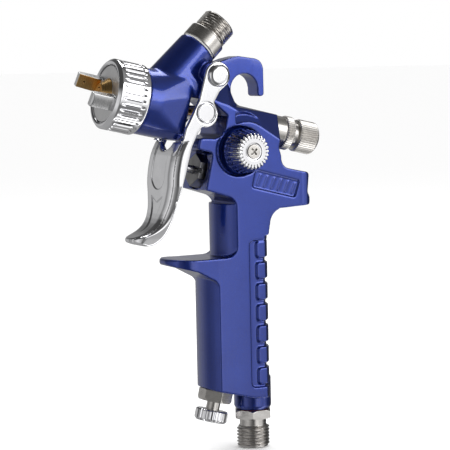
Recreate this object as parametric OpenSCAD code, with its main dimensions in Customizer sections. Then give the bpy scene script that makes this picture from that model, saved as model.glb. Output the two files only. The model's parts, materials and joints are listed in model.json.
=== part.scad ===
// Small HVLP spray gun. Millimetres, +Z up along the air inlet, spray direction towards -X.
// The origin is the centre of the lower end of the air inlet thread.

/* [Body] */
// Half width of the handle and the lower body
body_half = 11; // [10.6:0.1:11]
// Tilt of the spray axis above the horizontal, in degrees
spray_tilt = 13; // [12.5:0.1:13.5]
// Angle of the paint inlet tube above the horizontal, in degrees
tube_angle = 44; // [43:0.5:45]
// Angle of the air regulator from the vertical, in degrees
regulator_tilt = 14; // [13:0.5:14]
// Half width of the hanging hook
hook_half = 4.5; // [4:0.1:5]

/* [Threads] */
// Radius of the air inlet thread, G 1/4
inlet_thread_r = 6.58; // [6.5:0.01:6.6]
// Pitch of the air inlet thread
inlet_pitch = 1.337; // [1.3:0.001:1.4]
// Radius of the paint inlet thread, M14
paint_thread_r = 7; // [6.9:0.05:7]
// Pitch of the paint inlet thread
paint_pitch = 1; // [0.95:0.05:1.05]

/* [Air cap and ring] */
// Radius of the retaining ring
ring_r = 13.8; // [13.6:0.1:14]
// Number of flutes on the retaining ring
ring_flutes = 36; // [32:1:40]
// Turn of the two horns about the spray axis, in degrees
horn_turn = 24; // [0:1:90]

/* [Trigger] */
// Height of the trigger pivot above the spray axis
pivot_rise = 15.2; // [15:0.1:15.4]
// Distance of the trigger pivot behind the drive pin
pivot_back = 2; // [1.8:0.1:2.2]
// Inner half width between the trigger arms
arm_inner = 11.4; // [11.4:0.1:11.6]
// Thickness of a trigger arm
arm_wall = 1.8; // [1.6:0.1:2]

/* [Grip] */
// Number of grip pads
pad_count = 7; // [5:1:7]
// Distance between the middles of two pads
pad_pitch = 8.45; // [8.4:0.05:8.5]
// Height of a pad
pad_height = 6.4; // [6:0.1:6.8]
// Height a pad stands above its recess
pad_relief = 1; // [0.8:0.1:1.2]

/* [Hidden] */
$fn = 64;

eps = 0.01;          // overlap that keeps cuts clean
run_gap = 0.05;      // radial gap of a running fit
face_gap = 0.1;      // axial gap between turning faces

// Spray frame: s runs forward along the spray axis, u upward across it. The drive pin is at s = 0, u = 0.
pin_x = -24.5;
pin_z = 135.3;
outer_half = arm_inner + arm_wall;
pivot_r = 3.5;

// Stations along the spray axis
tip_s = 46.9;        // end of the horns
ring_front = 38;
ring_rear = 24.5;
cap_face = 37.4;
neck_front = 30;
head_rear = 5.8;
window_rear = -10.5;
chamber_front = -15;
body_rear = -35.5;
guide_rear = -40.5;
knob_rear = -56;

// Air valve axis, parallel to the spray axis
valve_u = -22;
valve_face = -9.2;
valve_bore_end = -36;

// Pattern control, along Y
pattern_x = -7.8;
pattern_z = 119.8;

// Paint tube: its frame starts at the centre of the thread's free end, and t runs down the tube
tube_x = -11.2;
tube_z = 170.3;

// Air regulator: its frame starts on the slanted underside of the handle and runs down
regulator_x = -16.3;
regulator_z = 24.1;

// Handle heights
handle_front = -19.2;
handle_bulge = 3;
grip_front = -10.7;
grip_bulge = 5.6;
handle_rear = 5.9;
rear_arc_r = 15.2;
stub_r = 7.5;
stub_bottom = 15.15;
washer_seat = 0.6;

// Air gallery in the bridge, beside the needle
gallery_y = 5.2;
gallery_r = 1.1;

// Paint tube ends and the slant of the badge
tube_end_t = 14;
tube_root_t = 44;
badge_angle = -14.5;

function spray_xz(s, u) = [
  pin_x - s * cos(spray_tilt) + u * sin(spray_tilt),
  pin_z + s * sin(spray_tilt) + u * cos(spray_tilt)
];
pivot_xz = spray_xz(-pivot_back, pivot_rise);

// Points of an arc about a centre, from angle a to angle b
function arc(centre, r, a, b, steps = 6) =
  [for (i = [0:steps]) centre + r * [cos(a + (b - a) * i / steps), sin(a + (b - a) * i / steps)]];

// Points of a smooth curve through the given points
function smooth_curve(path, steps = 3) = concat(
  [for (i = [0:len(path) - 2]) for (k = [0:steps - 1])
    let (t = k / steps, last = len(path) - 1,
      before = path[max(i - 1, 0)], a = path[i], b = path[i + 1], after = path[min(i + 2, last)])
    (2 * a + t * (b - before) + t * t * (2 * before - 5 * a + 4 * b - after)
      + t * t * t * (3 * a - before - 3 * b + after)) / 2],
  [path[len(path) - 1]]
);

// Points of a toothed outline with count teeth between radius r - depth and r
function toothed(r, depth, count, land = 0.55) = [
  for (i = [0:count - 1]) for (corner = [[0, r - depth], [(1 - land) / 2, r], [(1 + land) / 2, r]])
    let (a = 360 * (i + corner[0]) / count) corner[1] * [cos(a), sin(a)]
];

// Half profile of a thread as rings with flat crests, from a crest at z = 0 up to length, over a core of radius core_r
function thread_profile(r, depth, pitch, length, core_r) = concat(
  [[core_r, 0]],
  [for (i = [0:floor(length / pitch) - 1])
    for (corner = [[0, depth], [0.18, depth], [0.48, 0], [0.7, 0]])
    [r - depth + corner[1], (i + corner[0]) * pitch]],
  [[r - depth, length], [core_r, length]]
);

// Frames
module in_spray_frame(s = 0) {
  p = spray_xz(s, 0);
  translate([p[0], 0, p[1]]) rotate([0, spray_tilt - 90, 0]) children();
}
module in_valve_frame(s = 0) {
  p = spray_xz(s, valve_u);
  translate([p[0], 0, p[1]]) rotate([0, spray_tilt - 90, 0]) children();
}
module in_tube_frame() {
  translate([tube_x, 0, tube_z]) rotate([0, 90 - tube_angle, 0]) children();
}
module in_pattern_frame() {
  translate([pattern_x, 0, pattern_z]) rotate([90, 0, 0]) children();
}
module in_regulator_frame() {
  translate([regulator_x, 0, regulator_z]) rotate([0, 180 + regulator_tilt, 0]) children();
}
// Side outline in X and Z, made as thick as 2 * half
module side_plate(half) {
  rotate([90, 0, 0]) linear_extrude(height = 2 * half, center = true) children();
}
// Tube wall between two radii
module ring_solid(outer, inner, height) {
  difference() {
    cylinder(r = outer, h = height);
    translate([0, 0, -1]) cylinder(r = inner, h = height + 2);
  }
}
module hexagon(across_flats, height) {
  cylinder(r = across_flats / 2 / cos(30), h = height, $fn = 6);
}
module cross_slot(length, width, depth) {
  for (turn = [0, 90]) rotate([0, 0, turn]) cube([length, width, 2 * depth], center = true);
}
// Coil of round wire, standing on z = 0, as one swept solid
module coil(mean_r, wire_r, turns, height) {
  steps = 12;
  sides = 6;
  last = floor(turns * steps);
  rise = (height - 2 * wire_r) / last;
  points = [for (i = [0:last]) let (a = 360 * i / steps) for (k = [0:sides - 1])
    let (b = 360 * k / sides, q = mean_r + wire_r * cos(b))
      [q * cos(a), q * sin(a), wire_r + i * rise + wire_r * sin(b)]];
  walls = [for (i = [0:last - 1]) for (k = [0:sides - 1])
    let (m = (k + 1) % sides) each [
      [i * sides + k, (i + 1) * sides + k, (i + 1) * sides + m],
      [i * sides + k, (i + 1) * sides + m, i * sides + m]
    ]];
  start = [for (k = [0:sides - 1]) k];
  end = [for (k = [sides - 1:-1:0]) last * sides + k];
  polyhedron(points = points, faces = concat(walls, [start], [end]));
}

// ---- Gun body ----
// Plan of the handle with its side edges at front_x and a round front that stands bulge ahead of them
module handle_plan(front_x, bulge, inset = 0) {
  front_r = (body_half * body_half + bulge * bulge) / (2 * bulge);
  intersection() {
    translate([front_x - bulge, -body_half + inset]) square([40, 2 * (body_half - inset)]);
    translate([front_x - bulge + front_r, 0]) circle(r = front_r, $fn = 96);
    translate([handle_rear - rear_arc_r, 0]) circle(r = rear_arc_r - inset, $fn = 96);
  }
}
// Height of the slanted underside of the handle, square to the regulator
function underside(x) = regulator_z - (x - regulator_x) * tan(regulator_tilt);
module handle_outline() {
  front = handle_front - handle_bulge - 1;
  polygon([
    [front, underside(front)], [-5, underside(-5)], [handle_rear + 1, 20.6], [handle_rear + 1, 72], [front, 72]
  ]);
}
module handle() {
  intersection() {
    side_plate(body_half) handle_outline();
    linear_extrude(height = 72) handle_plan(handle_front, handle_bulge);
  }
  translate([0, 0, 62]) linear_extrude(height = 37) handle_plan(grip_front, grip_bulge);
}
// Recess behind the grip pads, as a side outline
module pad_recess_outline() {
  low = 25.4;
  high = low + pad_count * pad_pitch - 0.3;
  polygon(concat(
    arc([-3.7, low + 2], 2, 180, 270), [[20, low]], [[20, high]], arc([-3.7, high - 2], 2, 90, 180)
  ));
}
module pad_outline(index) {
  low = 26.6 + index * pad_pitch;
  high = low + pad_height;
  polygon(concat(
    arc([-1.5, low + 1], 1, 180, 270, 4), [[20, low]], [[20, high]], arc([-1.5, high - 1], 1, 90, 180, 4)
  ));
}
module pad_recess() {
  difference() {
    side_plate(body_half + 1) pad_recess_outline();
    linear_extrude(height = 100) handle_plan(handle_front, handle_bulge, pad_relief);
  }
}
module pads() {
  intersection() {
    linear_extrude(height = 100) handle_plan(handle_front, handle_bulge);
    for (index = [0:pad_count - 1]) side_plate(body_half + 1) pad_outline(index);
  }
}
module finger_rest_outline() {
  polygon(concat(
    [[-8, 62], [handle_front, 62]],
    arc([handle_front - 4.5, 65.6], 4.5, 0, 72),
    [[-28.3, 73.1]],
    arc([-37.6, 77.0], 1.3, 255, 90, 5),
    [[-28, 77.9]],
    arc([grip_front - 5, 83], 5, 270, 360),
    [[grip_front, 86], [-8, 86]]
  ));
}
module finger_rest() {
  intersection() {
    side_plate(body_half) finger_rest_outline();
    linear_extrude(height = 100) {
      translate([-28, -body_half]) square([30, 2 * body_half]);
      translate([-28, 0]) circle(r = body_half);
    }
  }
}
// Lower block with the air valve, and the spur behind the hand
module lower_block_outline() {
  polygon(concat(
    arc([grip_front - 5.5, 96.8], 5.5, 0, 72),
    [spray_xz(-7.2, -29.4), spray_xz(-7.2, -16)],
    arc(spray_xz(-5.7, -16), 1.5, -spray_tilt, 90 - spray_tilt, 3),
    [spray_xz(-0.2, -14.5), spray_xz(0, -10), spray_xz(-6.5, -9)],
    [spray_xz(-10.4, -7), spray_xz(-16, -2), spray_xz(-30, -2), spray_xz(body_rear, -4), spray_xz(body_rear, -7)],
    [[9.5, 117]],
    arc([13.5, 116], 4, 180, 258, 5),
    [[20.4, 110.4]], arc([20.6, 108.6], 1.8, 85, 10, 4),
    [[21.3, 102.1]], arc([21.6, 98.9], 1.9, 40, -85, 5),
    [[8.2, 96.3]], arc([10, 90.3], 6, 110, 178, 5),
    [[3.2, 86], [grip_front, 86]]
  ));
}
module lower_block() {
  intersection() {
    side_plate(body_half) lower_block_outline();
    linear_extrude(height = 200) {
      translate([-40, -body_half]) square([58, 2 * body_half]);
      translate([10, -body_half + 4]) square([13.5, 2 * (body_half - 4)]);
      for (side = [-1, 1]) translate([19.5, side * (body_half - 4)]) circle(r = 4);
    }
  }
}
// Slab of the barrel's cross-section at station s: full width up to shoulder, hook width at crown
module barrel_slab(s, shoulder, crown, base = -9) {
  in_spray_frame(s) linear_extrude(height = 0.1) polygon([
    [base, -body_half], [shoulder, -body_half], [crown, -hook_half],
    [crown, hook_half], [shoulder, body_half], [base, body_half]
  ]);
}
module barrel() {
  hull() {
    barrel_slab(window_rear - 0.1, 4.8, 6.4);
    barrel_slab(body_rear, -4, 6.1);
  }
}
// Bridge over the needle window, from the barrel to the head
module bridge() {
  hull() {
    barrel_slab(window_rear - 6, 1, 6.2, -2);
    barrel_slab(window_rear, 4.8, 14, 4);
    barrel_slab(-3, 5.6, 14.5, 5);
  }
  hull() {
    barrel_slab(-6, 5, 14, 5);
    in_spray_frame(11) linear_extrude(height = 0.1) translate([5, -8]) square([11, 16]);
  }
  translate([pivot_xz[0], 0, pivot_xz[1]]) rotate([90, 0, 0])
    cylinder(r = 5, h = 2 * (arm_inner - face_gap), center = true);
}
module hook_outline() {
  polygon(concat(
    [[-16, 150], [-15.4, 154.4], [-10.1, 156.1]],
    [[-5.6, 157]], arc([0.9, 151.4], 4.6, 80, 10, 6),
    arc([4.2, 142.2], 1.4, -5, -175, 6),
    arc([-3.2, 144.0], 6, 3, 181, 12),
    [[-8.8, 140.2], [-6.6, 138], [-4, 136.4], [-4, 133], [-16, 136]]
  ));
}
module hook() {
  side_plate(hook_half) hook_outline();
}
module head() {
  hull() {
    in_spray_frame(19) cylinder(r = 13, h = 5.3, $fn = 48);
    in_spray_frame(head_rear) linear_extrude(height = 0.1) polygon([
      [-12.6, -6], [-10.4, -9.6], [5, -10], [13, -8], [13, 8], [5, 10], [-10.4, 9.6], [-12.6, 6]
    ]);
  }
  in_spray_frame(24) cylinder(r = 11.6, h = neck_front - 24);
}
module paint_tube() {
  in_tube_frame() translate([0, 0, -tube_root_t])
    cylinder(r1 = 8.9, r2 = 8, h = tube_root_t - tube_end_t);
}
module inlet_stub() {
  translate([0, 0, stub_bottom]) cylinder(r1 = stub_r - 0.9, r2 = stub_r, h = 1.4);
  translate([0, 0, stub_bottom + 1.4]) cylinder(r = stub_r, h = 12);
}
// Badge recess in the side of the spur, with plain slanted ribs
module badge_recess() {
  translate([-4.3, -body_half - 1, 105.3]) rotate([90, 0, 0]) rotate([0, 0, badge_angle])
    translate([0, 0, -1.7]) linear_extrude(height = 2) polygon([
      [0.3, 0.4], [1, 0], [19.6, 0], [20.2, 0.6], [20.6, 6.6], [20.2, 7], [0.8, 7.2], [0.2, 6.6]
    ]);
}
module badge_ribs() {
  translate([-4.3, -body_half, 105.3]) rotate([90, 0, 0]) rotate([0, 0, badge_angle])
    for (index = [0:5]) translate([2 + 3.2 * index, 1.4, -0.9]) linear_extrude(height = 0.5)
      polygon([[0, 0], [0.7, 0], [1.5, 4.4], [0.8, 4.4]]);
}
module pattern_pocket() {
  in_pattern_frame() translate([-1.6, 0, body_half - 1.6]) cylinder(r = 9.9, h = 3);
  in_pattern_frame() translate([0, 0, body_half - 2.2]) cylinder(r = 9.5, h = 3);
}
// Crescent recess over the knob, with a floor that leans with the shoulder
module crescent_recess() {
  translate([-6.2, -body_half + 1.2, 131]) rotate([62, 0, 0]) difference() {
    translate([0, -6.2, 0]) cylinder(r = 9.9, h = 6);
    translate([0.3, -13.4, -1]) cylinder(r = 13.2, h = 8);
    translate([-14.3, -20, -1]) cube([10, 40, 8]);
  }
}
module body_bores() {
  // Spray axis: ring recess, nozzle thread, paint chamber, packing, needle
  in_spray_frame(26) difference() {
    cylinder(r = 10, h = 10);
    translate([0, 0, -1]) cylinder(r = 6.4, h = 3);
  }
  in_spray_frame(22.5) cylinder(r = 4.5, h = 10);
  in_spray_frame(15) cylinder(r = 3.3, h = 8);
  in_spray_frame(head_rear - 1) cylinder(r = 1.5, h = 12);
  in_spray_frame(head_rear - 1) cylinder(r = 3, h = 1 + 7.7);
  in_spray_frame(chamber_front - 1) cylinder(r = 1.5, h = 8);
  in_spray_frame(window_rear) cylinder(r = 3, h = -window_rear);
  in_spray_frame(body_rear - 1) cylinder(r = 4.6, h = chamber_front - body_rear + 1);
  in_spray_frame(body_rear - 1) cylinder(r = 5.4, h = 6.5);
  // Paint tube and connector thread
  in_tube_frame() translate([0, 0, -30.2]) cylinder(r = 3, h = 20);
  in_tube_frame() translate([0, 0, -22]) cylinder(r = 5.6, h = 10);
  // Trigger pivot
  translate([pivot_xz[0], 0, pivot_xz[1]]) rotate([90, 0, 0])
    cylinder(r = pivot_r + run_gap, h = 40, center = true);
  // Air valve
  in_valve_frame(valve_face) cylinder(r = 7.7, h = 20);
  in_valve_frame(valve_bore_end) cylinder(r = 5.1, h = valve_face - valve_bore_end + 1);
  // Pattern control
  in_pattern_frame() translate([0, 0, -6]) cylinder(r = 4.1, h = 20);
  // Air passages: handle, riser to the pattern control, gallery in the bridge
  translate([0, 0, stub_bottom - 1]) cylinder(r = 3.5, h = 92);
  translate([0, 0, stub_bottom - 1]) cylinder(r = 5.1, h = 8);
  translate([0, 0, stub_bottom - 1]) cylinder(r = 6.2, h = 1 + washer_seat);
  in_spray_frame(-18.5) translate([-22, 0, 0]) rotate([0, 90, 0]) cylinder(r = 1.8, h = 10);
  in_spray_frame(-12.9) translate([-11.5, gallery_y, 0]) rotate([0, 90, 0]) cylinder(r = gallery_r, h = 18.2);
  in_spray_frame(-20) translate([-11.5, gallery_y, 0]) cylinder(r = gallery_r, h = 8);
  in_spray_frame(-13.5) translate([6.7, gallery_y, 0]) cylinder(r = gallery_r, h = 40.5);
  // Regulator
  in_regulator_frame() translate([0, 0, -12]) cylinder(r = 4.25, h = 20);
  in_regulator_frame() translate([0, 0, -17]) cylinder(r = 2.2, h = 10);
  translate([regulator_x + 3.4, 0, 38]) rotate([0, 90, 0]) cylinder(r = 1.8, h = 12);
}
module body_cuts() {
  badge_recess();
  pattern_pocket();
  crescent_recess();
}
module gun_body() {
  color([0.16, 0.2, 0.55]) {
    difference() {
      union() {
        difference() {
          handle();
          pad_recess();
        }
        pads();
        finger_rest();
        lower_block();
        barrel();
        bridge();
        hook();
        head();
        paint_tube();
        inlet_stub();
      }
      body_cuts();
      body_bores();
    }
    badge_ribs();
  }
}

// ---- Air inlet ----
module air_inlet_nipple() {
  thread_top = 8.2;
  color([0.75, 0.73, 0.7]) difference() {
    union() {
      rotate_extrude() polygon(thread_profile(inlet_thread_r, 0.8, inlet_pitch, thread_top, 4.5));
      translate([0, 0, thread_top]) cylinder(r = 5.3, h = 3.4);
      rotate([0, 0, 63]) translate([0, 0, 11.5]) hexagon(14, 3.6);
      translate([0, 0, 15.1]) cylinder(r = 5.05, h = 6.4);
      cylinder(r = 5, h = 21.5);
    }
    translate([0, 0, -1]) cylinder(r = 4, h = 30);
  }
}
module inlet_washer() {
  color([0.72, 0.3, 0.2]) translate([0, 0, stub_bottom]) ring_solid(6.2, 5.1, washer_seat);
}

// ---- Paint inlet ----
module paint_connector() {
  thread_length = 6.6;
  color([0.7, 0.69, 0.67]) in_tube_frame() difference() {
    union() {
      translate([0, 0, -thread_length])
        rotate_extrude() polygon(thread_profile(paint_thread_r, 0.6, paint_pitch, thread_length, 4));
      translate([0, 0, -7.8]) cylinder(r = 6.1, h = 1.3);
      translate([0, 0, -13.5]) cylinder(r = 7.75, h = 5.7);
      translate([0, 0, -21.4]) cylinder(r = 5.55, h = 8);
      translate([0, 0, -21.4]) cylinder(r = 4.5, h = 21.4);
    }
    translate([0, 0, -22]) cylinder(r = 3.4, h = 30);
    translate([0, 0, -1.6]) cylinder(r1 = 3.4, r2 = 5.4, h = 2);
  }
}
module connector_washer() {
  color([0.85, 0.85, 0.83]) in_tube_frame() translate([0, 0, -tube_end_t]) ring_solid(7.2, 5.6, 0.5);
}

// ---- Head ----
module fluid_nozzle() {
  color([0.78, 0.6, 0.35]) in_spray_frame() difference() {
    union() {
      translate([0, 0, 23.4]) cylinder(r = 4.45, h = 5.1);
      translate([0, 0, 28.5]) hexagon(9.6, 3);
      translate([0, 0, 31.4]) cylinder(r = 4.6, h = 2);
      translate([0, 0, 33.4]) cylinder(r1 = 4.6, r2 = 1.3, h = 7.4);
    }
    translate([0, 0, 22]) cylinder(r = 2.4, h = 12);
    translate([0, 0, 34 - eps]) cylinder(r1 = 2.4, r2 = 0.5, h = 6.6);
    translate([0, 0, 39]) cylinder(r = 0.5, h = 4);
  }
}
module nozzle_washer() {
  color([0.9, 0.9, 0.88]) in_spray_frame(28) ring_solid(6.2, 4.55, 0.5);
}
module air_baffle() {
  color([0.75, 0.62, 0.4]) in_spray_frame(neck_front + eps) difference() {
    ring_solid(10.9, 5.7, 1.4);
    for (turn = [0:45:315]) rotate([0, 0, turn]) translate([8.2, 0, -1]) cylinder(r = 0.9, h = 4, $fn = 16);
  }
}
module horn() {
  intersection() {
    difference() {
      cylinder(r = 10.9, h = tip_s - cap_face + 1);
      translate([-20, -20, -1]) cube([26.6, 40, 30]);
    }
    translate([0, -2.75, 0]) cube([12, 5.5, tip_s - cap_face + 1]);
    rotate([90, 0, 0]) linear_extrude(height = 8, center = true)
      polygon([[4, 0], [11.5, 0], [11.5, 9.2], [10.2, 10.5], [8, 10.5], [6.6, 3]]);
  }
}
module air_cap() {
  color([0.62, 0.62, 0.62]) in_spray_frame() rotate([0, 0, 90 - horn_turn]) difference() {
    union() {
      translate([0, 0, 33]) cylinder(r = 11.9, h = 3.2);
      translate([0, 0, 36]) cylinder(r = 11.1, h = cap_face - 36);
      translate([0, 0, cap_face - eps]) cylinder(r1 = 6, r2 = 3.2, h = 3.4);
      for (turn = [0, 180]) rotate([0, 0, turn]) translate([0, 0, cap_face - 1]) horn();
    }
    translate([0, 0, 32]) cylinder(r = 9, h = 3.6);
    translate([0, 0, 35.6 - eps]) cylinder(r1 = 5.4, r2 = 1.9, h = 4);
    translate([0, 0, 38]) cylinder(r = 1.9, h = 4);
    for (turn = [0, 180]) rotate([0, 0, turn]) {
      translate([8.6, 0, 34]) cylinder(r = 0.8, h = 10.4, $fn = 16);
      translate([9.4, 0, 43.6]) rotate([0, -70, 0]) cylinder(r = 0.4, h = 4, $fn = 16);
      translate([4.6, 0, 34]) rotate([0, 12, 0]) cylinder(r = 0.4, h = 8, $fn = 16);
    }
  }
}
module cap_snap_ring() {
  color([0.8, 0.8, 0.8]) in_spray_frame(32.2) rotate_extrude() translate([12.15, 0]) circle(r = 0.4, $fn = 16);
}
module retaining_ring() {
  color([0.85, 0.85, 0.86]) in_spray_frame() difference() {
    union() {
      translate([0, 0, ring_rear]) cylinder(r = ring_r, h = 2.3);
      translate([0, 0, ring_rear + 2]) linear_extrude(height = 8.8)
        polygon(toothed(ring_r - 0.1, 0.55, ring_flutes, 0.72));
      translate([0, 0, ring_rear + 10.5]) cylinder(r = ring_r, h = 1.8);
      translate([0, 0, ring_rear + 12.3]) cylinder(r1 = ring_r, r2 = ring_r - 1, h = ring_front - ring_rear - 12.3);
    }
    translate([0, 0, ring_rear - 1]) cylinder(r = 11.65, h = 7);
    translate([0, 0, neck_front]) cylinder(r = 12.2, h = 6.4);
    translate([0, 0, 31.75]) rotate_extrude() translate([12.15, 0.45]) circle(r = 0.45, $fn = 16);
    translate([0, 0, 36]) cylinder(r = 11.3, h = 3);
    translate([0, 0, ring_front - 0.8]) cylinder(r1 = 11.3, r2 = 12.1, h = 0.81);
  }
}

// ---- Needle ----
module needle_packing() {
  color([0.92, 0.92, 0.9]) in_spray_frame(11.4) ring_solid(2.95, 1.28, 2);
}
module packing_gland() {
  color([0.7, 0.6, 0.4]) in_spray_frame(3.5) difference() {
    union() {
      cylinder(r = 3.7, h = head_rear - 3.5);
      cylinder(r = 2.95, h = 7.8);
    }
    translate([0, 0, -1]) cylinder(r = 1.32, h = 12);
    cube([10, 1, 1.6], center = true);
  }
}
module fluid_needle() {
  color([0.75, 0.76, 0.78]) in_spray_frame() {
    translate([0, 0, -29]) cylinder(r = 1.25, h = 64);
    translate([0, 0, 35]) cylinder(r1 = 1.25, r2 = 0.3, h = 5.6);
  }
}
module needle_collar() {
  color([0.8, 0.78, 0.7]) in_spray_frame(-6.4) ring_solid(2.6, 1.25, 3.3);
}
module needle_spring_seat() {
  color([0.78, 0.65, 0.4]) in_spray_frame(-18) union() {
    ring_solid(4.3, 1.25, 1.6);
    translate([0, 0, -2]) ring_solid(2.1, 1.25, 2 + eps);
  }
}
module needle_spring() {
  color([0.6, 0.62, 0.65]) in_spray_frame(-33.2) coil(2.9, 0.4, 8, 15.1);
}
module fluid_guide() {
  color([0.72, 0.7, 0.67]) in_spray_frame() difference() {
    union() {
      translate([0, 0, guide_rear]) cylinder(r = 6.2, h = body_rear - guide_rear);
      translate([0, 0, body_rear]) cylinder(r = 5.35, h = 5.4);
    }
    translate([0, 0, guide_rear - 1]) cylinder(r = 3.6, h = 20);
    translate([0, 0, -33.4]) cylinder(r = 4.4, h = 5);
  }
}
stem_r = 3.55;
stem_front = -33.4;
knob_front = -46.6;
lock_front = guide_rear - face_gap;
lock_rear = -44.4;
module fluid_lock_nut() {
  color([0.75, 0.74, 0.71]) in_spray_frame() difference() {
    union() {
      translate([0, 0, lock_rear + 0.5]) linear_extrude(height = lock_front - lock_rear - 1)
        polygon(toothed(6.8, 0.3, 48, 0.4));
      translate([0, 0, lock_rear]) cylinder(r1 = 5.8, r2 = 6.3, h = 0.5);
      translate([0, 0, lock_front - 0.5]) cylinder(r1 = 6.3, r2 = 5.8, h = 0.5);
    }
    translate([0, 0, lock_rear - 1]) cylinder(r = stem_r + run_gap, h = 8);
  }
}
module fluid_knob() {
  color([0.75, 0.74, 0.71]) in_spray_frame() {
    translate([0, 0, knob_front]) cylinder(r = stem_r, h = stem_front - knob_front);
    translate([0, 0, knob_front]) cylinder(r = 5, h = lock_rear - face_gap - knob_front);
    translate([0, 0, -54.6]) linear_extrude(height = 7.4) polygon(toothed(6.6, 0.3, 48, 0.4));
    translate([0, 0, -47.2]) cylinder(r1 = 6.1, r2 = 5.4, h = 0.6);
    translate([0, 0, knob_rear]) cylinder(r1 = 4.9, r2 = 6.1, h = -54.6 - knob_rear);
  }
}

// ---- Trigger ----
module trigger_outline() {
  polygon(concat(
    arc(pivot_xz, 5.4, -60, 170, 12),
    [[-27.4, 140.4], [-31.6, 132.6], [-33.4, 129.6], [-34.6, 125.6]],
    smooth_curve([
      [-36.2, 123.6], [-38.3, 119], [-39.8, 112], [-40.3, 105], [-41.3, 98.5], [-43.8, 92.8], [-47.8, 89.4], [-53.2, 87.4]
    ]),
    arc([-53.1, 86.5], 0.8, 95, 235, 3),
    smooth_curve([
      [-52.4, 85.4], [-48.6, 84.2], [-44.4, 84.8], [-40.8, 88], [-38.4, 93], [-37.2, 98.4], [-35.6, 105.4], [-33.6, 112]
    ]),
    [[-32.1, 117.6], [-30.8, 122.4], [-28.2, 127.6]],
    arc([pin_x, pin_z - 0.6], 5.1, 250, 360, 8),
    [[-20.9, 139.2], [-18.4, 143.4]]
  ));
}
// Front view of the trigger, in Y and Z
trigger_edge = concat(
  smooth_curve([[5.5, 83], [7.2, 87], [8.7, 92], [10.1, 97], [11.8, 102], [outer_half, 107.5]], 2),
  [[outer_half, 160]]
);
module trigger_front_outline() {
  far_edge = [for (i = [len(trigger_edge) - 1:-1:0]) [-trigger_edge[i][0], trigger_edge[i][1]]];
  polygon(concat(trigger_edge, far_edge));
}
// Hollow between the arms, behind the front wall
module trigger_channel_outline() {
  polygon([
    [-10, 160], [-10, 99.6], [-36.6, 99.6], [-37.9, 101.4], [-38, 105], [-37.6, 110], [-37.1, 114.2], [-35.9, 118.2],
    [-34.2, 121.4], [-34.2, 124.2], [-44, 124.2], [-44, 160]
  ]);
}
module trigger() {
  color([0.85, 0.85, 0.87]) difference() {
    intersection() {
      side_plate(outer_half) trigger_outline();
      rotate([90, 0, 90]) linear_extrude(height = 130, center = true) trigger_front_outline();
      union() {
        translate([-46, -20, 80]) cube([60, 40, 90]);
        translate([-45.5, 0, 80]) cylinder(r = 8.2, h = 20);
      }
    }
    side_plate(arm_inner) trigger_channel_outline();
    // Notch in the top edge of the front wall
    translate([-36, 0, 126.8]) rotate([0, 90, 0]) cylinder(r = 6.2, h = 14, center = true);
    translate([pivot_xz[0], 0, pivot_xz[1]]) rotate([90, 0, 0])
      cylinder(r = pivot_r + run_gap, h = 40, center = true);
    translate([pin_x, 0, pin_z]) rotate([90, 0, 0]) {
      cylinder(r = 2.8, h = 40, center = true);
      translate([0, 0, outer_half - 0.7]) cylinder(r = 4.1, h = 3);
    }
  }
}
dome_r = 4.5;
module pivot_barrel() {
  color([0.88, 0.88, 0.9]) translate([pivot_xz[0], 0, pivot_xz[1]]) rotate([90, 0, 0]) difference() {
    union() {
      translate([0, 0, -outer_half - face_gap]) cylinder(r = pivot_r, h = 2 * (outer_half + face_gap));
      translate([0, 0, outer_half + face_gap]) rotate_extrude() polygon(concat(
        [[0, 0], [dome_r, 0]],
        [for (a = [0:10:90]) [dome_r - 0.8 + 0.8 * cos(a) - (dome_r - 0.8) * (1 - cos(a * 0.55)) , 0.4 + 1.7 * sin(a)]],
        [[0, 2.1]]
      ));
    }
    translate([0, 0, -outer_half - 1]) cylinder(r = 2, h = 18);
  }
}
module pivot_screw() {
  color([0.7, 0.7, 0.72]) translate([pivot_xz[0], 0, pivot_xz[1]]) rotate([-90, 0, 0]) difference() {
    union() {
      translate([0, 0, outer_half + face_gap]) cylinder(r1 = dome_r, r2 = dome_r - 0.8, h = 1.8);
      translate([0, 0, 2]) cylinder(r = 1.95, h = outer_half - 1);
    }
    translate([0, 0, outer_half + 2]) cube([12, 1, 1.6], center = true);
  }
}
module drive_pin() {
  color([0.86, 0.86, 0.88]) translate([pin_x, 0, pin_z]) rotate([90, 0, 0]) difference() {
    union() {
      translate([0, 0, -outer_half - 1.1]) cylinder(r = 2.75, h = 2 * outer_half + 1);
      translate([0, 0, outer_half - 0.6]) cylinder(r1 = 3.4, r2 = 3.3, h = 0.7);
    }
    translate([0, 0, -outer_half - 0.8]) ring_solid(4, 2.2, 0.6);
    rotate([0, 90, 0]) rotate([spray_tilt, 0, 0]) cylinder(r = 1.65, h = 10, center = true);
  }
}
module drive_pin_clip() {
  color([0.55, 0.55, 0.57]) translate([pin_x, outer_half + 0.25, pin_z]) rotate([-90, 0, 0]) difference() {
    ring_solid(3.9, 2.25, 0.5);
    translate([-0.9, 0, -1]) cube([1.8, 6, 3]);
  }
}

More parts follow.
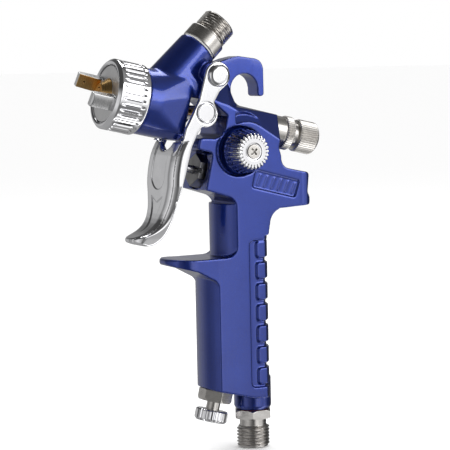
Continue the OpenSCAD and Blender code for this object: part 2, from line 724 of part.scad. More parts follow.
// ---- Air valve ----
module air_valve_gland() {
  color([0.5, 0.5, 0.5]) in_valve_frame(valve_face) difference() {
    union() {
      hexagon(11.6, 4.2);
      translate([0, 0, -4.8]) cylinder(r = 5.05, h = 5);
    }
    translate([0, 0, -6]) cylinder(r = 1.7, h = 20);
    translate([0, 0, 4.2]) cube([1.6, 20, 2.4], center = true);
  }
}
module air_valve_packing() {
  color([0.9, 0.9, 0.88]) in_valve_frame(valve_face - 6.6) ring_solid(5, 1.63, 1.7);
}
module air_valve_seat() {
  color([0.75, 0.62, 0.38]) in_valve_frame(valve_face - 10.2) difference() {
    ring_solid(5.05, 2.6, 3.5);
    translate([0, 0, 1.8]) rotate([0, 90, 0]) cylinder(r = 1, h = 12, $fn = 24);
  }
}
module air_valve_stem() {
  color([0.78, 0.78, 0.8]) in_valve_frame() {
    translate([0, 0, -20]) cylinder(r = 1.6, h = 25.5);
    translate([0, 0, 5.5]) sphere(r = 1.6);
    translate([0, 0, -21.8]) cylinder(r = 3.9, h = 1.8);
    translate([0, 0, -24]) cylinder(r = 1.4, h = 2.3);
  }
}
module air_valve_seal() {
  color([0.1, 0.1, 0.1]) in_valve_frame(-20) ring_solid(3.7, 1.62, 0.55);
}
module air_valve_spring() {
  color([0.6, 0.62, 0.65]) in_valve_frame(valve_bore_end) coil(2.7, 0.35, 7, 14.15);
}

// ---- Pattern control ----
pattern_floor = body_half - 2.2;
module pattern_bushing() {
  color([0.72, 0.7, 0.67]) in_pattern_frame() difference() {
    union() {
      translate([0, 0, -1]) cylinder(r = 4.05, h = pattern_floor + 1);
      translate([0, 0, pattern_floor]) hexagon(9, 1.6);
    }
    translate([0, 0, -2]) cylinder(r = 2.05, h = 20);
    translate([0, 0, 3]) cylinder(r = 2.9, h = 1.4);
  }
}
module pattern_stem() {
  color([0.78, 0.77, 0.75]) in_pattern_frame() {
    translate([0, 0, -1]) cylinder(r = 2, h = 15);
    translate([0, 0, -4]) cylinder(r1 = 0.8, r2 = 2, h = 3 + eps);
  }
}
module pattern_o_ring() {
  color([0.08, 0.08, 0.08]) in_pattern_frame() translate([0, 0, 3.7]) rotate_extrude()
    translate([2.48, 0]) circle(r = 0.4, $fn = 16);
}
knob_base = 10.6;
knob_face = 20.4;
module pattern_knob() {
  color([0.88, 0.88, 0.9]) in_pattern_frame() difference() {
    intersection() {
      translate([0, 0, knob_base - 1]) linear_extrude(height = knob_face - knob_base + 2)
        polygon(toothed(9, 0.9, 26, 0.5));
      rotate_extrude() polygon([
        [0, knob_base], [8.2, knob_base], [8.8, knob_base + 0.8], [8.6, knob_base + 2.6], [7.2, knob_face - 0.8],
        [6.6, knob_face], [0, knob_face]
      ]);
    }
    translate([0, 0, knob_base - 1]) cylinder(r = 2.02, h = 4.4);
    translate([0, 0, knob_base - 1]) cylinder(r = 6, h = 1.7);
    translate([0, 0, 12]) cylinder(r = 1.3, h = 20);
    translate([0, 0, knob_face - 1.4]) cylinder(r1 = 1.3, r2 = 2.8, h = 1.41);
  }
}
module pattern_knob_screw() {
  color([0.8, 0.74, 0.55]) in_pattern_frame() difference() {
    union() {
      translate([0, 0, 14]) cylinder(r = 1.25, h = knob_face - 14.6);
      translate([0, 0, knob_face - 1.4]) cylinder(r1 = 1.3, r2 = 2.7, h = 1.4);
    }
    translate([0, 0, knob_face]) rotate([0, 0, 40]) cross_slot(3.2, 0.7, 1);
  }
}

// ---- Air regulator ----
hex_drop = 4.6;      // from the frame's origin to the lower face of the hexagon
module regulator_bushing() {
  color([0.72, 0.7, 0.67]) in_regulator_frame() difference() {
    union() {
      intersection() {
        translate([0, 0, 0.05]) rotate([0, 0, 34]) hexagon(12, hex_drop - 0.05);
        cylinder(r1 = 9, r2 = 6.3, h = hex_drop);
      }
      translate([0, 0, -9]) cylinder(r = 4.2, h = 10);
    }
    translate([0, 0, -10]) cylinder(r = 2.1, h = 20);
    translate([0, 0, -2]) cylinder(r = 3, h = 1.4);
  }
}
module regulator_stem() {
  color([0.8, 0.8, 0.8]) in_regulator_frame() {
    translate([0, 0, -9]) cylinder(r = 2.05, h = 17.4);
    translate([0, 0, -13]) cylinder(r1 = 0.7, r2 = 2.05, h = 4 + eps);
    translate([0, 0, hex_drop + face_gap]) cylinder(r = 2.7, h = 3.1);
  }
}
module regulator_o_ring() {
  color([0.08, 0.08, 0.08]) in_regulator_frame() translate([0, 0, -1.3]) rotate_extrude()
    translate([2.55, 0]) circle(r = 0.42, $fn = 16);
}
knob_top = hex_drop + face_gap + 3.1;
module regulator_knob() {
  color([0.86, 0.86, 0.87]) in_regulator_frame() translate([0, 0, knob_top]) difference() {
    intersection() {
      translate([0, 0, -1]) linear_extrude(height = 7) polygon(toothed(6.9, 0.8, 22, 0.6));
      rotate_extrude() polygon([[0, 0], [6, 0], [6.6, 0.5], [6.6, 3.9], [5.8, 4.9], [0, 4.9]]);
    }
    translate([0, 0, -1]) cylinder(r = 2.07, h = 1.6);
    translate([0, 0, -1]) cylinder(r = 1.1, h = 8);
    translate([0, 0, 4]) cylinder(r = 2.3, h = 2);
  }
}
module regulator_knob_screw() {
  color([0.7, 0.7, 0.7]) in_regulator_frame() translate([0, 0, knob_top]) difference() {
    union() {
      translate([0, 0, 0.7]) cylinder(r = 1.05, h = 3.4);
      translate([0, 0, 4]) cylinder(r1 = 2.2, r2 = 1.9, h = 0.8);
    }
    translate([0, 0, 4.8]) cube([6, 0.6, 0.9], center = true);
  }
}

gun_body();
air_inlet_nipple();
inlet_washer();
paint_connector();
connector_washer();
fluid_nozzle();
nozzle_washer();
air_baffle();
air_cap();
cap_snap_ring();
retaining_ring();
needle_packing();
packing_gland();
fluid_needle();
needle_collar();
needle_spring_seat();
needle_spring();
fluid_guide();
fluid_lock_nut();
fluid_knob();
trigger();
pivot_barrel();
pivot_screw();
drive_pin();
drive_pin_clip();
air_valve_gland();
air_valve_packing();
air_valve_seat();
air_valve_stem();
air_valve_seal();
air_valve_spring();
pattern_bushing();
pattern_stem();
pattern_o_ring();
pattern_knob();
pattern_knob_screw();
regulator_bushing();
regulator_stem();
regulator_o_ring();
regulator_knob();
regulator_knob_screw();
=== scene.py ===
"""Looks of a small HVLP spray gun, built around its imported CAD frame.

Metres, +Z up, spray direction towards -X. Profiles and shapes are in millimetres.
"""

import json
import math

import bmesh
import bpy
from mathutils import Matrix, Vector
from mathutils.bvhtree import BVHTree


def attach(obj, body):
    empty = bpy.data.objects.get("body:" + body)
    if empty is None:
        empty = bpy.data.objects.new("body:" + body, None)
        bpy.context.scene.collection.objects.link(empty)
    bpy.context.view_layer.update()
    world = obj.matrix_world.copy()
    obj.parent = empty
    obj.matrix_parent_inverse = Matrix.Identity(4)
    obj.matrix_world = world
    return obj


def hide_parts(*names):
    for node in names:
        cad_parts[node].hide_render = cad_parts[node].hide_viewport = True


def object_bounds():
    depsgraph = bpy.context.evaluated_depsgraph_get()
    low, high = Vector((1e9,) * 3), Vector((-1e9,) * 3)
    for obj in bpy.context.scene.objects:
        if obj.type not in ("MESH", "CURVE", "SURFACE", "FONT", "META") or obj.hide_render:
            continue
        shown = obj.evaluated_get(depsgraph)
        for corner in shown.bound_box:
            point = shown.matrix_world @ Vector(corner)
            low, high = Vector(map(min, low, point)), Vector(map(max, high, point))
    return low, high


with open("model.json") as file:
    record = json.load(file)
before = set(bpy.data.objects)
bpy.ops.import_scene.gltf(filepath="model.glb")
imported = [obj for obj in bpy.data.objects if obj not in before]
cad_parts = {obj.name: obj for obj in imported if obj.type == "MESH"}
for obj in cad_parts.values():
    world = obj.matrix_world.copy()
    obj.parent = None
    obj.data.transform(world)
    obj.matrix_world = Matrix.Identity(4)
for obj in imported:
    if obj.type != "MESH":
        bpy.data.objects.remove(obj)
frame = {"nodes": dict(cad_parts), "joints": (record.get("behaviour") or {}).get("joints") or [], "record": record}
cad_low, cad_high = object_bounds()

MM = 0.001
NODES = frame["nodes"]
RECORD = frame["record"]
JOINTS = {joint["name"]: joint for joint in frame["joints"]}
MOUNTS = {mount["name"]: mount for mount in RECORD["mounts"]}
BODY_OF = {node: body for body, members in RECORD["behaviour"]["bodies"].items() for node in members}
SLOT_OF = {part["node"]: part["material_slot"] for part in RECORD["subparts"]}


# ---- Placement ----

def place_on(position, axis):
    """Matrix of a local frame with its z along axis, in metres."""
    z = Vector(axis).normalized()
    x = Vector((0, 1, 0)).cross(z)
    if x.length < 0.1:
        x = Vector((1, 0, 0))
    x.normalize()
    y = z.cross(x)
    rotation = Matrix((x, y, z)).transposed().to_4x4()
    return Matrix.Translation(Vector(position)) @ rotation


def from_joint(name):
    return place_on(JOINTS[name]["pos_m"], JOINTS[name]["axis"])


def from_mount(name):
    return place_on(MOUNTS[name]["pos_m"], MOUNTS[name]["axis"])


def span(node, place):
    """Lowest and highest station of a CAD node along a local frame's z, in millimetres."""
    inverse = place.inverted()
    stations = [(inverse @ vertex.co).z / MM for vertex in NODES[node].data.vertices]
    return min(stations), max(stations)


def radius_of(node, place):
    """Largest radius of a CAD node about a local frame's z, in millimetres."""
    inverse = place.inverted()
    return max((inverse @ vertex.co).xy.length / MM for vertex in NODES[node].data.vertices)


SPRAY = from_joint("ring_turn")
SPRAY_INVERSE = SPRAY.inverted()
KNOB = from_joint("fluid_knob_turn")
TUBE = from_mount("paint_inlet")
INLET = place_on((0, 0, 0), (0, 0, 1))
PATTERN = from_joint("pattern_knob_turn")
REGULATOR = from_joint("regulator_turn")


# ---- Stage, light and camera ----

AZIMUTH, ELEVATION, ROLL = (math.radians(angle) for angle in (-27, 5, -1.2))
DISTANCE = 0.78
LENS = 155.7
CENTRE = (cad_low + cad_high) / 2
AIM_OFFSET = (11.66, 7.0, 2.15)

STUDIO_STRENGTH = 3.0
# Brightness round the gun, from -X (0) by the near side -Y (0.25) and +X (0.5) to +Y (0.75) and back to -X
HORIZON = [
    (0.0, 0.2), (0.05, 0.28), (0.11, 0.14), (0.18, 0.02), (0.21, 0.04), (0.25, 0.5), (0.30, 0.46),
    (0.345, 0.27), (0.40, 0.3), (0.46, 0.02), (0.62, 0.015), (0.67, 0.12), (0.75, 0.12), (0.83, 0.17),
    (0.9, 0.08), (1.0, 0.2)]
CEILING = [
    (0.0, 0.02), (0.12, 0.02), (0.25, 0.04), (0.35, 0.1), (0.46, 0.08), (0.55, 0.03), (0.7, 0.03),
    (0.88, 0.02), (1.0, 0.02)]
GROUND = [
    (0.0, 0.12), (0.2, 0.05), (0.3, 0.05), (0.36, 0.2), (0.40, 1.0), (0.45, 0.4), (0.5, 0.1), (0.65, 0.1),
    (0.75, 0.12), (1.0, 0.12)]


def direction(azimuth, elevation):
    """Unit vector from the object towards a viewer; azimuth 0 stands on the -Y side."""
    level = math.cos(elevation)
    return Vector((math.sin(azimuth) * level, -math.cos(azimuth) * level, math.sin(elevation)))


def make_camera():
    data = bpy.data.cameras.new("camera")
    data.lens = LENS
    data.sensor_width = 36
    data.clip_start = 0.01
    camera = bpy.data.objects.new("camera", data)
    bpy.context.scene.collection.objects.link(camera)
    back = direction(AZIMUTH, ELEVATION)
    level = (-back).cross(Vector((0, 0, 1))).normalized()
    upright = level.cross(-back)
    right = level * math.cos(ROLL) + upright * math.sin(ROLL)
    up = upright * math.cos(ROLL) - level * math.sin(ROLL)
    aim = CENTRE + Vector(AIM_OFFSET) * MM
    turn = Matrix((right, up, back)).transposed().to_4x4()
    camera.matrix_world = Matrix.Translation(aim + back * DISTANCE) @ turn
    bpy.context.scene.camera = camera


def softbox(name, azimuth, elevation, width, height, power, distance=0.9):
    data = bpy.data.lights.new(name, "AREA")
    data.shape = "RECTANGLE"
    data.size = width
    data.size_y = height
    data.energy = power
    lamp = bpy.data.objects.new(name, data)
    bpy.context.scene.collection.objects.link(lamp)
    towards = direction(math.radians(azimuth), math.radians(elevation))
    lamp.location = CENTRE + towards * distance
    lamp.rotation_euler = towards.to_track_quat("Z", "Y").to_euler()
    lamp.visible_camera = False


def make_world():
    """Studio surroundings for reflections, and plain white for the view and for soft light."""
    world = bpy.data.worlds.new("studio")
    world.use_nodes = True
    bpy.context.scene.world = world
    tree = world.node_tree
    tree.nodes.clear()
    out = tree.nodes.new("ShaderNodeOutputWorld")
    coordinates = tree.nodes.new("ShaderNodeTexCoord")
    split = tree.nodes.new("ShaderNodeSeparateXYZ")
    tree.links.new(coordinates.outputs["Generated"], split.inputs[0])
    turn = math_node(tree, "ARCTAN2", split.outputs["Y"], split.outputs["X"])
    share = math_node(tree, "MULTIPLY_ADD", turn, 1 / (2 * math.pi), 0.5)
    horizon = ramp(tree, share, HORIZON)
    above = ramp(tree, split.outputs["Z"], [(0.2, 0.0), (0.5, 1.0)])
    below = ramp(tree, math_node(tree, "MULTIPLY", split.outputs["Z"], -1.0), [(0.2, 0.0), (0.55, 1.0)])
    upper = mix(tree, above, horizon, ramp(tree, share, CEILING))
    surroundings = mix(tree, below, upper, ramp(tree, share, GROUND))
    studio = tree.nodes.new("ShaderNodeBackground")
    studio.inputs["Strength"].default_value = STUDIO_STRENGTH
    tree.links.new(surroundings, studio.inputs["Color"])
    plain = tree.nodes.new("ShaderNodeBackground")
    path = tree.nodes.new("ShaderNodeLightPath")
    soft = math_node(tree, "MAXIMUM", path.outputs["Is Camera Ray"], path.outputs["Is Diffuse Ray"])
    either = tree.nodes.new("ShaderNodeMixShader")
    plain.inputs["Color"].default_value = (1, 1, 1, 1)
    tree.links.new(soft, either.inputs[0])
    tree.links.new(studio.outputs[0], either.inputs[1])
    tree.links.new(plain.outputs[0], either.inputs[2])
    tree.links.new(either.outputs[0], out.inputs["Surface"])


def make_stage():
    mesh = bpy.data.meshes.new("floor")
    bm = bmesh.new()
    bmesh.ops.create_circle(bm, cap_ends=True, segments=96, radius=20)
    bm.to_mesh(mesh)
    bm.free()
    floor = bpy.data.objects.new("floor", mesh)
    floor.location.z = cad_low.z - 0.0003
    bpy.context.scene.collection.objects.link(floor)
    floor.visible_glossy = False
    tree, shader = new_material("pale_floor")
    shader.inputs["Base Color"].default_value = (1.0, 1.0, 1.0, 1)
    shader.inputs["Roughness"].default_value = 1.0
    shader.inputs["Specular IOR Level"].default_value = 0.0
    mesh.materials.append(bpy.data.materials["pale_floor"])


# ---- Material helpers ----

def new_material(name):
    material = bpy.data.materials.new(name)
    material.use_nodes = True
    return material.node_tree, material.node_tree.nodes["Principled BSDF"]


def math_node(tree, operation, *values):
    made = tree.nodes.new("ShaderNodeMath")
    made.operation = operation
    for socket, value in zip(made.inputs, values):
        if isinstance(value, (int, float)):
            socket.default_value = value
        else:
            tree.links.new(value, socket)
    return made.outputs[0]


def ramp(tree, factor, stops):
    """Colour ramp; a stop is a position and a grey or an RGB colour."""
    made = tree.nodes.new("ShaderNodeValToRGB")
    elements = made.color_ramp.elements
    while len(elements) < len(stops):
        elements.new(0.5)
    for element, (position, value) in zip(elements, stops):
        element.position = position
        element.color = (value,) * 3 + (1,) if isinstance(value, float) else tuple(value) + (1,)
    tree.links.new(factor, made.inputs[0])
    return made.outputs[0]


def object_point(tree):
    return tree.nodes.new("ShaderNodeTexCoord").outputs["Object"]


def noise(tree, vector, scale, detail=3.0, roughness=0.55):
    """Noise with its scale in features per millimetre."""
    made = tree.nodes.new("ShaderNodeTexNoise")
    made.inputs["Scale"].default_value = scale / MM
    made.inputs["Detail"].default_value = detail
    made.inputs["Roughness"].default_value = roughness
    tree.links.new(vector, made.inputs["Vector"])
    return made.outputs[0]


def turning_marks(tree, axis, scale):
    """Noise that only changes along an axis, like the marks that a lathe leaves."""
    dot = tree.nodes.new("ShaderNodeVectorMath")
    dot.operation = "DOT_PRODUCT"
    tree.links.new(object_point(tree), dot.inputs[0])
    dot.inputs[1].default_value = axis
    made = tree.nodes.new("ShaderNodeTexNoise")
    made.noise_dimensions = "1D"
    made.inputs["Scale"].default_value = scale / MM
    made.inputs["Detail"].default_value = 4
    tree.links.new(dot.outputs["Value"], made.inputs["W"])
    return made.outputs[0]


def bump(tree, height, distance, strength, below=None):
    made = tree.nodes.new("ShaderNodeBump")
    made.inputs["Strength"].default_value = strength
    made.inputs["Distance"].default_value = distance * MM
    tree.links.new(height, made.inputs["Height"])
    if below is not None:
        tree.links.new(below, made.inputs["Normal"])
    return made.outputs[0]


def mix(tree, factor, first, second):
    made = tree.nodes.new("ShaderNodeMix")
    made.data_type = "RGBA"
    tree.links.new(factor, made.inputs["Factor"])
    for socket, value in ((made.inputs[6], first), (made.inputs[7], second)):
        if isinstance(value, tuple):
            socket.default_value = value + (1,)
        else:
            tree.links.new(value, socket)
    return made.outputs[2]


def edge_mask(tree, radius):
    """Grey that is 1 on crisp edges and 0 on open surface."""
    bevel = tree.nodes.new("ShaderNodeBevel")
    bevel.inputs["Radius"].default_value = radius * MM
    bevel.samples = 4
    geometry = tree.nodes.new("ShaderNodeNewGeometry")
    dot = tree.nodes.new("ShaderNodeVectorMath")
    dot.operation = "DOT_PRODUCT"
    tree.links.new(bevel.outputs[0], dot.inputs[0])
    tree.links.new(geometry.outputs["Normal"], dot.inputs[1])
    return ramp(tree, dot.outputs["Value"], [(0.75, 1.0), (0.97, 0.0)])


def blue_coating(name):
    """Metallic blue coating on a casting: fine flake, faint orange peel, thinner and lighter on the edges."""
    tree, shader = new_material(name)
    point = object_point(tree)
    cloud = noise(tree, point, 0.06)
    flake = noise(tree, point, 9.0, 1.0)
    patches = ramp(tree, cloud, [(0.3, 0.0), (0.7, 1.0)])
    body = mix(tree, patches, (0.008, 0.026, 0.22), (0.012, 0.036, 0.27))
    flaked = mix(tree, ramp(tree, flake, [(0.56, 0.0), (0.7, 1.0)]), body, (0.025, 0.065, 0.4))
    worn = mix(tree, edge_mask(tree, 0.35), flaked, (0.05, 0.09, 0.42))
    tree.links.new(worn, shader.inputs["Base Color"])
    shader.inputs["Metallic"].default_value = 0.85
    tree.links.new(ramp(tree, noise(tree, point, 0.5), [(0.2, 0.26), (0.8, 0.36)]), shader.inputs["Roughness"])
    shader.inputs["Coat Weight"].default_value = 0.8
    shader.inputs["Coat Roughness"].default_value = 0.07
    shader.inputs["Coat IOR"].default_value = 1.6
    peel = bump(tree, noise(tree, point, 0.55, 2.0), 0.02, 0.25)
    tree.links.new(bump(tree, flake, 0.004, 0.3, peel), shader.inputs["Normal"])


def polished_chrome(name):
    """Bright plating: very smooth, with faint smears and a faint fine bump."""
    tree, shader = new_material(name)
    point = object_point(tree)
    smear = noise(tree, point, 0.12, 4.0)
    shader.inputs["Metallic"].default_value = 1.0
    tint = mix(tree, ramp(tree, smear, [(0.35, 0.0), (0.7, 1.0)]), (0.88, 0.88, 0.9), (0.8, 0.8, 0.82))
    tree.links.new(tint, shader.inputs["Base Color"])
    tree.links.new(ramp(tree, smear, [(0.3, 0.05), (0.75, 0.12)]), shader.inputs["Roughness"])
    tree.links.new(bump(tree, noise(tree, point, 0.25, 2.0), 0.02, 0.12), shader.inputs["Normal"])


def turned_metal(name, light, dark, roughness, axis, marks=6.0, depth=0.012):
    """Machined and plated metal with turning marks round an axis."""
    tree, shader = new_material(name)
    point = object_point(tree)
    rings = turning_marks(tree, axis, marks)
    stain = noise(tree, point, 0.2, 4.0)
    shader.inputs["Metallic"].default_value = 1.0
    body = mix(tree, ramp(tree, stain, [(0.35, 0.0), (0.7, 1.0)]), light, dark)
    edged = mix(tree, edge_mask(tree, 0.15), body, tuple(min(1.0, c * 1.25) for c in light))
    tree.links.new(edged, shader.inputs["Base Color"])
    rough = ramp(tree, rings, [(0.3, roughness - 0.06), (0.7, roughness + 0.08)])
    tree.links.new(rough, shader.inputs["Roughness"])
    tree.links.new(bump(tree, rings, depth, 0.5), shader.inputs["Normal"])


def seal_material(name, light, dark, roughness):
    """Moulded rubber, fibre or plastic seal with a fine grain."""
    tree, shader = new_material(name)
    point = object_point(tree)
    grain = noise(tree, point, 4.0)
    tree.links.new(mix(tree, grain, light, dark), shader.inputs["Base Color"])
    rough = ramp(tree, grain, [(0.2, roughness - 0.1), (0.8, roughness + 0.1)])
    tree.links.new(rough, shader.inputs["Roughness"])
    tree.links.new(bump(tree, grain, 0.02, 0.4), shader.inputs["Normal"])


# ---- Mesh helpers ----

BLEND_ROUNDS = 60


def add_piece(name, mesh, node, material, sharp_angle=38):
    """New piece that stands for a CAD node: it takes the node's body and the given material."""
    piece = bpy.data.objects.new(name, mesh)
    bpy.context.scene.collection.objects.link(piece)
    mesh.materials.clear()
    mesh.materials.append(bpy.data.materials[material])
    mesh.shade_smooth()
    mesh.set_sharp_from_angle(angle=math.radians(sharp_angle))
    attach(piece, BODY_OF[node])
    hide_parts(node)
    return piece


def rounded(profile, radius, steps=3):
    """The profile with its corners rounded; points are (station, radius) in millimetres."""
    points = [Vector(point) for point in profile]
    result = [points[0]]
    for before, corner, after in zip(points, points[1:], points[2:]):
        back, ahead = before - corner, after - corner
        reach = min(radius, back.length * 0.45, ahead.length * 0.45)
        start, end = corner + back.normalized() * reach, corner + ahead.normalized() * reach
        for step in range(steps + 1):
            t = step / steps
            result.append(start * (1 - t) ** 2 + corner * 2 * t * (1 - t) + end * t ** 2)
    result.append(points[-1])
    return [tuple(point) for point in result]


def sampled(profile, spacing):
    """The profile with extra points, so that no two are further apart than spacing."""
    result = [profile[0]]
    for first, second in zip(profile, profile[1:]):
        parts = max(1, math.ceil((Vector(second) - Vector(first)).length / spacing))
        result += [tuple(Vector(first).lerp(Vector(second), part / parts)) for part in range(1, parts + 1)]
    return result


def turned(name, place, profile, steps=96, shape=None):
    """Closed turned solid about a local frame's z. The profile runs from pole to pole, or else round a bore.
    shape(station, radius, angle) gives the radius where the solid isn't round."""
    bm = bmesh.new()
    rings = []
    for station, radius in profile:
        if radius == 0:
            rings.append([bm.verts.new(place @ Vector((0, 0, station * MM)))])
            continue
        ring = []
        for step in range(steps):
            angle = 2 * math.pi * step / steps
            reach = shape(station, radius, angle) if shape else radius
            point = Vector((reach * math.cos(angle), reach * math.sin(angle), station))
            ring.append(bm.verts.new(place @ (point * MM)))
        rings.append(ring)
    pairs = list(zip(rings, rings[1:]))
    if len(rings[0]) > 1:
        pairs.append((rings[-1], rings[0]))
    for first, second in pairs:
        for step in range(steps):
            after = (step + 1) % steps
            corners = [first[step % len(first)], first[after % len(first)],
                       second[after % len(second)], second[step % len(second)]]
            bm.faces.new(list(dict.fromkeys(corners)))
    bmesh.ops.recalc_face_normals(bm, faces=bm.faces)
    mesh = bpy.data.meshes.new(name)
    bm.to_mesh(mesh)
    bm.free()
    return mesh


def teeth(count, depth, start, end, groove=1.0, fade=0.4):
    """Shape of grooves along the axis between two stations; groove is a groove's share of its pitch."""
    def shape(station, radius, angle):
        inside = min(station - start, end - station) / fade
        if inside <= 0:
            return radius
        place_in_pitch = abs((angle * count / (2 * math.pi)) % 1 - 0.5) / (groove / 2)
        if place_in_pitch >= 1:
            return radius
        return radius - depth * min(1, inside) ** 0.5 * (0.5 + 0.5 * math.cos(math.pi * place_in_pitch))
    return shape


def helix(pitch, depth, start, end):
    """Shape of a right-handed V thread between two stations."""
    def shape(station, radius, angle):
        inside = min(station - start, end - station) / (0.5 * pitch)
        if inside <= 0:
            return radius
        turn = (station / pitch - angle / (2 * math.pi)) % 1
        flank = min(1, max(0, (abs(turn - 0.5) - 0.08) / 0.34))
        return radius - depth * min(1, inside) * (1 - flank)
    return shape


def hexagonal(across_flats, start, end, first_corner):
    """Shape that cuts six flats between two stations."""
    def shape(station, radius, angle):
        if not start <= station <= end:
            return radius
        off = (angle - first_corner + math.pi / 3) % (math.pi / 3) - math.pi / 6
        return min(radius, across_flats / 2 / math.cos(off))
    return shape


def outside_of(inner, cut):
    """Shape that cuts only where the solid is wider than inner, so a bore stays round."""
    def shape(station, radius, angle):
        return cut(station, radius, angle) if radius > inner else radius
    return shape


def together(*shapes):
    """Several shapes on one solid, each in its own stretch."""
    def shape(station, radius, angle):
        for cut in shapes:
            radius = cut(station, radius, angle)
        return radius
    return shape


def evaluated(piece):
    """Mesh of an object with its modifiers applied."""
    return bpy.data.meshes.new_from_object(piece.evaluated_get(bpy.context.evaluated_depsgraph_get()))


def softened(node, voxel, rounds, keep, reshape=None, blend=None):
    """Mesh of a CAD node with its edges rounded: remeshed at voxel millimetres, smoothed and thinned out.
    reshape(point) moves a point, and blend(point) says how much of the further smoothing it takes."""
    working = bpy.data.objects.new("working", NODES[node].data.copy())
    bpy.context.scene.collection.objects.link(working)
    remesh = working.modifiers.new("remesh", "REMESH")
    remesh.mode = "VOXEL"
    remesh.voxel_size = voxel * MM
    smooth = working.modifiers.new("smooth", "SMOOTH")
    smooth.factor = 0.5
    smooth.iterations = rounds
    mesh = evaluated(working)
    if reshape:
        for vertex in mesh.vertices:
            vertex.co = reshape(vertex.co / MM) * MM
    working.modifiers.clear()
    working.data = mesh
    if blend:
        group = working.vertex_groups.new(name="blend")
        for vertex in mesh.vertices:
            weight = blend(vertex.co / MM)
            if weight > 0:
                group.add([vertex.index], weight, "REPLACE")
        further = working.modifiers.new("further", "SMOOTH")
        further.vertex_group = group.name
        further.factor = 0.5
        further.iterations = BLEND_ROUNDS
    thin = working.modifiers.new("thin", "DECIMATE")
    thin.ratio = keep
    mesh = evaluated(working)
    bpy.data.objects.remove(working)
    return mesh


# ---- Pieces ----

RING_FLUTES = 36
KNOB_RIBS = 40
PATTERN_FLUTES = 26
REGULATOR_FLUTES = 22
INLET_PITCH = 1.337
PAINT_PITCH = 1.0

# Crown of the handle's sides, in millimetres; it fades in over CROWN_FADE below its top
CROWN_CENTRE = -6.5
CROWN_REACH = 13
CROWN_DEPTH = 0.3
CROWN_TOP = 100
CROWN_FADE = 12
HANDLE_HALF = 11
# Stations of the blended stretch of the head along the spray axis, from the ring joint, in millimetres
HEAD_BLEND = (-32, -6.5)


def crowned(point):
    """Gives the flat sides of the handle a slight crown, as a polished casting has."""
    off = (point.x - CROWN_CENTRE) / CROWN_REACH
    share = min(1, max(0, (CROWN_TOP - point.z) / CROWN_FADE)) * min(1, max(0, (abs(point.y) - 8) / 2))
    narrowing = CROWN_DEPTH / HANDLE_HALF * min(1, off * off) * share
    return Vector((point.x, point.y * (1 - narrowing), point.z))


def head_blend(point):
    """Softens the facets of the head and the bridge between their machined ends."""
    station = (SPRAY_INVERSE @ (point * MM)).z / MM
    return min(1, max(0, min(station - HEAD_BLEND[0], HEAD_BLEND[1] - station) / 2))


def make_body():
    mesh = softened("gun_body", 0.3, 8, 0.35, crowned, head_blend)
    add_piece("body_casting", mesh, "gun_body", "blue_coating", 60)


# Shape of the trigger's front wall, in millimetres: where its corners are round, and its two shallow panels
TRIGGER_ROUND_TOP = 132
CORNER_RADIUS = 4.8
PANEL_BOTTOM = 105.5
PANEL_HALF = 6.2
PANEL_DEPTH = 0.4
GROOVE_TOP = 101
GROOVE_BOTTOM = 89


def trigger_shape():
    """Reshapes points of the trigger: round front corners, and two shallow panels in the front wall."""
    surface = BVHTree.FromPolygons(
        [vertex.co / MM for vertex in NODES["trigger"].data.vertices],
        [polygon.vertices for polygon in NODES["trigger"].data.polygons])
    rows = {}

    def row(z):
        """Front station and half width of the trigger at a height, to the nearest half millimetre."""
        key = round(z * 2)
        if key not in rows:
            height = key / 2
            front = surface.ray_cast(Vector((-90, 0 if height < 112 else 9.5, height)), Vector((1, 0, 0)))[0]
            side = front and surface.ray_cast(Vector((front.x + 1, -40, height)), Vector((0, 1, 0)))[0]
            rows[key] = (front.x, -side.y) if side else None
        return rows[key]

    def steady_row(z):
        below, above = row(math.floor(z * 2) / 2), row(math.floor(z * 2) / 2 + 0.5)
        if not below or not above:
            return below or above
        share = z * 2 - math.floor(z * 2)
        return tuple(low + (high - low) * share for low, high in zip(below, above))

    def panel_depth(y, z):
        arch = math.sqrt(max(0, PANEL_HALF ** 2 - y * y))
        upper = min(PANEL_HALF - abs(y), z - PANEL_BOTTOM - PANEL_HALF + arch)
        lower = min((z - GROOVE_BOTTOM) * 0.36 - abs(y), (GROOVE_TOP + abs(y) * 0.5 - z) * 0.8)
        return PANEL_DEPTH * min(1, max(0, upper, lower) / 0.5)

    def reshape(point):
        edges = steady_row(point.z) if point.z < TRIGGER_ROUND_TOP else None
        if not edges:
            return point
        front, half = edges
        x, y, z = point
        if x - front < 1:
            x += panel_depth(y, z)
        radius = min(CORNER_RADIUS, half * 0.5) * min(1, (TRIGGER_ROUND_TOP - z) / 8)
        out, ahead = abs(y) - (half - radius), radius - (x - front)
        if out > 0 and ahead > 0:
            # Only the outer skin is rounded, so that the inner wall keeps clear of the body at full pull
            outermost = min(1, max(0, (max(out, ahead) / radius - 0.68) / 0.25))
            share = 1 - outermost * (1 - max(out, ahead) / math.hypot(out, ahead))
            y = math.copysign(half - radius + out * share, y)
            x = front + radius - ahead * share
        return Vector((x, y, z))

    return reshape


def make_trigger():
    mesh = softened("trigger", 0.25, 16, 0.7, trigger_shape())
    add_piece("trigger_lever", mesh, "trigger", "polished_chrome", 60)


def make_retaining_ring():
    low, high = span("retaining_ring", SPRAY)
    outer = radius_of("retaining_ring", SPRAY)
    outside = rounded([
        (low, 11.7), (low, outer - 0.4), (low + 0.4, outer), (high - 1.2, outer), (high, outer - 1.1),
        (high, 12.1), (high - 0.5, 11.4), (high - 2, 11.32), (high - 2, 12.15), (high - 6, 12.15),
        (high - 8, 12.15), (high - 8, 11.7), (low, 11.7)], 0.25)
    flutes = teeth(RING_FLUTES, 0.85, low + 1.9, high - 2.6, groove=0.5, fade=1.6)
    mesh = turned("retaining_ring_fluted", SPRAY, sampled(outside, 0.45), RING_FLUTES * 12, flutes)
    add_piece("retaining_ring_fluted", mesh, "retaining_ring", "polished_chrome")


